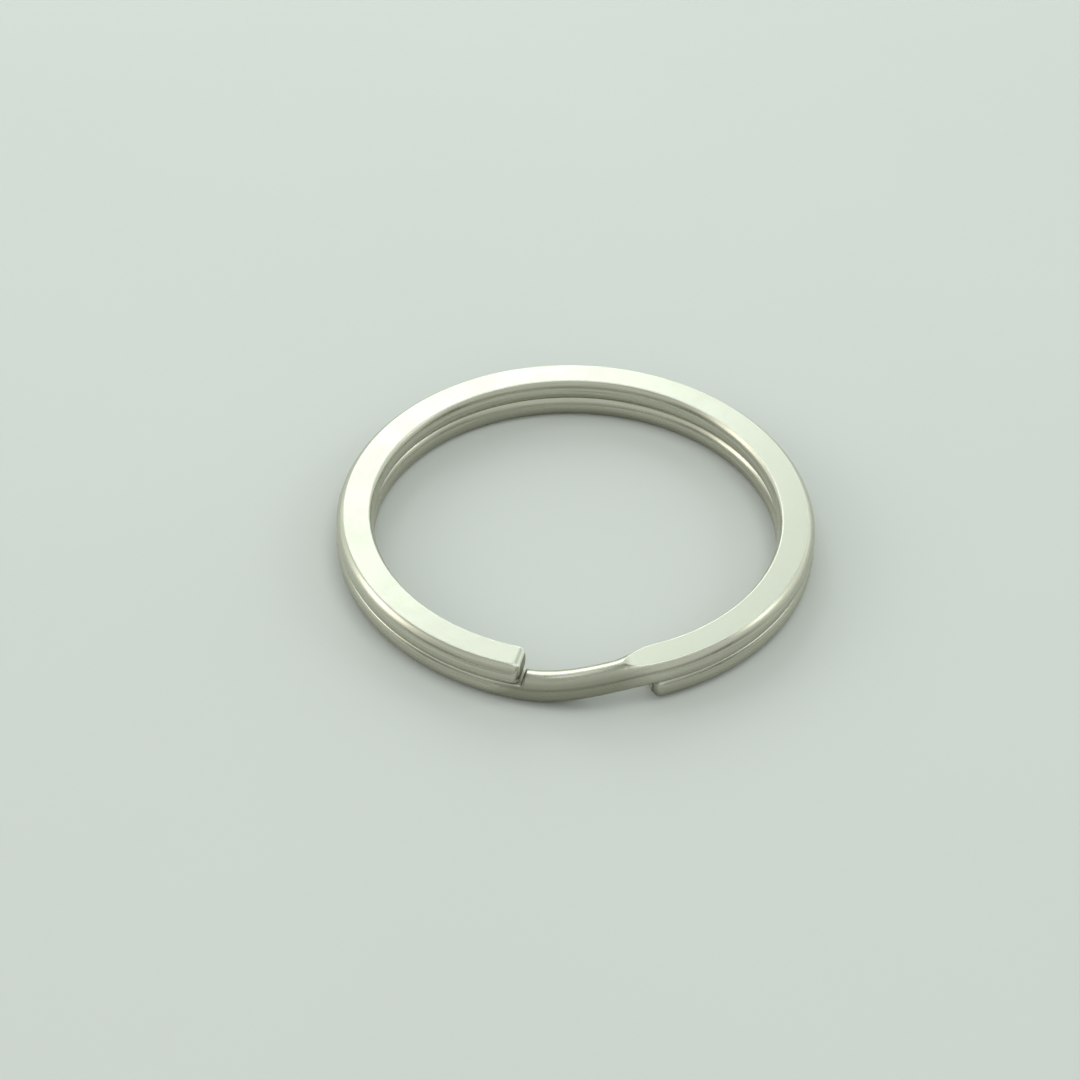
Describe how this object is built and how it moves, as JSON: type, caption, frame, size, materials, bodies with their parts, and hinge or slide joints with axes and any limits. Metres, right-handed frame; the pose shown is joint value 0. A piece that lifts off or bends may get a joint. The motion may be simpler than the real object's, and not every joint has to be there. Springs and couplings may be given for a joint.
{
  "type": "split key ring",
  "caption": "Split key ring: one length of spring wire wound nearly twice round in two flat layers, with a crank between its cut ends. Its ends spring open for a key.",
  "frame": {"origin": "on the ring's axis, in the plane that the lower layer rests on", "axes": "+Z is the ring's axis, up out of the surface it lies on; -Y goes through the middle of the crank; the upper layer's cut end is left of the crank and the lower layer's is right of it, seen along +Y"},
  "size_m": [0.03, 0.03, 0.0028],
  "materials": {
    "nickel_wire": "satin nickel plate over spring steel: pale, finely grained pressed faces, smoother and darker round sides"
  },
  "bodies": {
    "crank_side": {"upper_right_back": "nickel_wire", "upper_right": "nickel_wire", "upper_right_front": "nickel_wire", "upper_shoulder": "nickel_wire", "crank": "nickel_wire", "lower_left_back": "nickel_wire", "lower_left": "nickel_wire", "lower_left_front": "nickel_wire", "lower_shoulder": "nickel_wire"},
    "upper_back_right": {"upper_back_right": "nickel_wire"},
    "upper_back_left": {"upper_back_left": "nickel_wire"},
    "upper_left_back": {"upper_left_back": "nickel_wire"},
    "upper_left": {"upper_left": "nickel_wire"},
    "upper_left_front": {"upper_left_front": "nickel_wire"},
    "upper_tip": {"upper_tip": "nickel_wire"},
    "lower_back_left": {"lower_back_left": "nickel_wire"},
    "lower_back_right": {"lower_back_right": "nickel_wire"},
    "lower_right_back": {"lower_right_back": "nickel_wire"},
    "lower_right": {"lower_right": "nickel_wire"},
    "lower_right_front": {"lower_right_front": "nickel_wire"},
    "lower_tip": {"lower_tip": "nickel_wire"}
  },
  "joints": [
    {"name": "upper_end_opens", "type": "hinge", "parent": "crank_side", "child": "upper_back_right", "pos_m": [0.00745, 0.01157, 0.00198], "axis": [-0.9107, 0.4131, 0], "range_deg": [0, 1.38], "stiffness_Nm_per_rad": 53.3},
    {"name": "upper_back_left_flex", "type": "hinge", "parent": "upper_back_right", "child": "upper_back_left", "pos_m": [0, 0.01376, 0.00198], "axis": [-0.9903, 0.1392, 0], "range_deg": [0, 1.38]},
    {"name": "upper_left_back_flex", "type": "hinge", "parent": "upper_back_left", "child": "upper_left_back", "pos_m": [-0.00745, 0.01157, 0.00198], "axis": [-0.9893, -0.1461, 0], "range_deg": [0, 1.27]},
    {"name": "upper_left_flex", "type": "hinge", "parent": "upper_left_back", "child": "upper_left", "pos_m": [-0.01253, 0.00568, 0.00198], "axis": [-0.9078, -0.4195, 0], "range_deg": [0, 1.06]},
    {"name": "upper_left_front_flex", "type": "hinge", "parent": "upper_left", "child": "upper_left_front", "pos_m": [-0.01361, -0.00201, 0.00198], "axis": [-0.7524, -0.6587, 0], "range_deg": [0, 0.7551]},
    {"name": "upper_tip_flex", "type": "hinge", "parent": "upper_left_front", "child": "upper_tip", "pos_m": [-0.01035, -0.00906, 0.00198], "axis": [-0.5358, -0.8443, 0], "range_deg": [0, 0.3936]},
    {"name": "lower_end_opens", "type": "hinge", "parent": "crank_side", "child": "lower_back_left", "pos_m": [-0.00745, 0.01157, 0.00082], "axis": [0.9107, 0.4131, 0], "range_deg": [0, 1.38], "stiffness_Nm_per_rad": 53.3},
    {"name": "lower_back_right_flex", "type": "hinge", "parent": "lower_back_left", "child": "lower_back_right", "pos_m": [0, 0.01376, 0.00082], "axis": [0.9903, 0.1392, 0], "range_deg": [0, 1.38]},
    {"name": "lower_right_back_flex", "type": "hinge", "parent": "lower_back_right", "child": "lower_right_back", "pos_m": [0.00745, 0.01157, 0.00082], "axis": [0.9893, -0.1461, 0], "range_deg": [0, 1.27]},
    {"name": "lower_right_flex", "type": "hinge", "parent": "lower_right_back", "child": "lower_right", "pos_m": [0.01253, 0.00568, 0.00082], "axis": [0.9078, -0.4195, 0], "range_deg": [0, 1.06]},
    {"name": "lower_right_front_flex", "type": "hinge", "parent": "lower_right", "child": "lower_right_front", "pos_m": [0.01361, -0.00201, 0.00082], "axis": [0.7524, -0.6587, 0], "range_deg": [0, 0.7551]},
    {"name": "lower_tip_flex", "type": "hinge", "parent": "lower_right_front", "child": "lower_tip", "pos_m": [0.01035, -0.00906, 0.00082], "axis": [0.5358, -0.8443, 0], "range_deg": [0, 0.3936]}
  ],
  "couplings": [
    {"joint": "upper_back_left_flex", "follows": "upper_end_opens", "ratio": 1.001},
    {"joint": "upper_left_back_flex", "follows": "upper_end_opens", "ratio": 0.92056},
    {"joint": "upper_left_flex", "follows": "upper_end_opens", "ratio": 0.7652},
    {"joint": "upper_left_front_flex", "follows": "upper_end_opens", "ratio": 0.54758},
    {"joint": "upper_tip_flex", "follows": "upper_end_opens", "ratio": 0.2854},
    {"joint": "lower_back_right_flex", "follows": "lower_end_opens", "ratio": 1.001},
    {"joint": "lower_right_back_flex", "follows": "lower_end_opens", "ratio": 0.92056},
    {"joint": "lower_right_flex", "follows": "lower_end_opens", "ratio": 0.7652},
    {"joint": "lower_right_front_flex", "follows": "lower_end_opens", "ratio": 0.54758},
    {"joint": "lower_tip_flex", "follows": "lower_end_opens", "ratio": 0.2854}
  ]
}
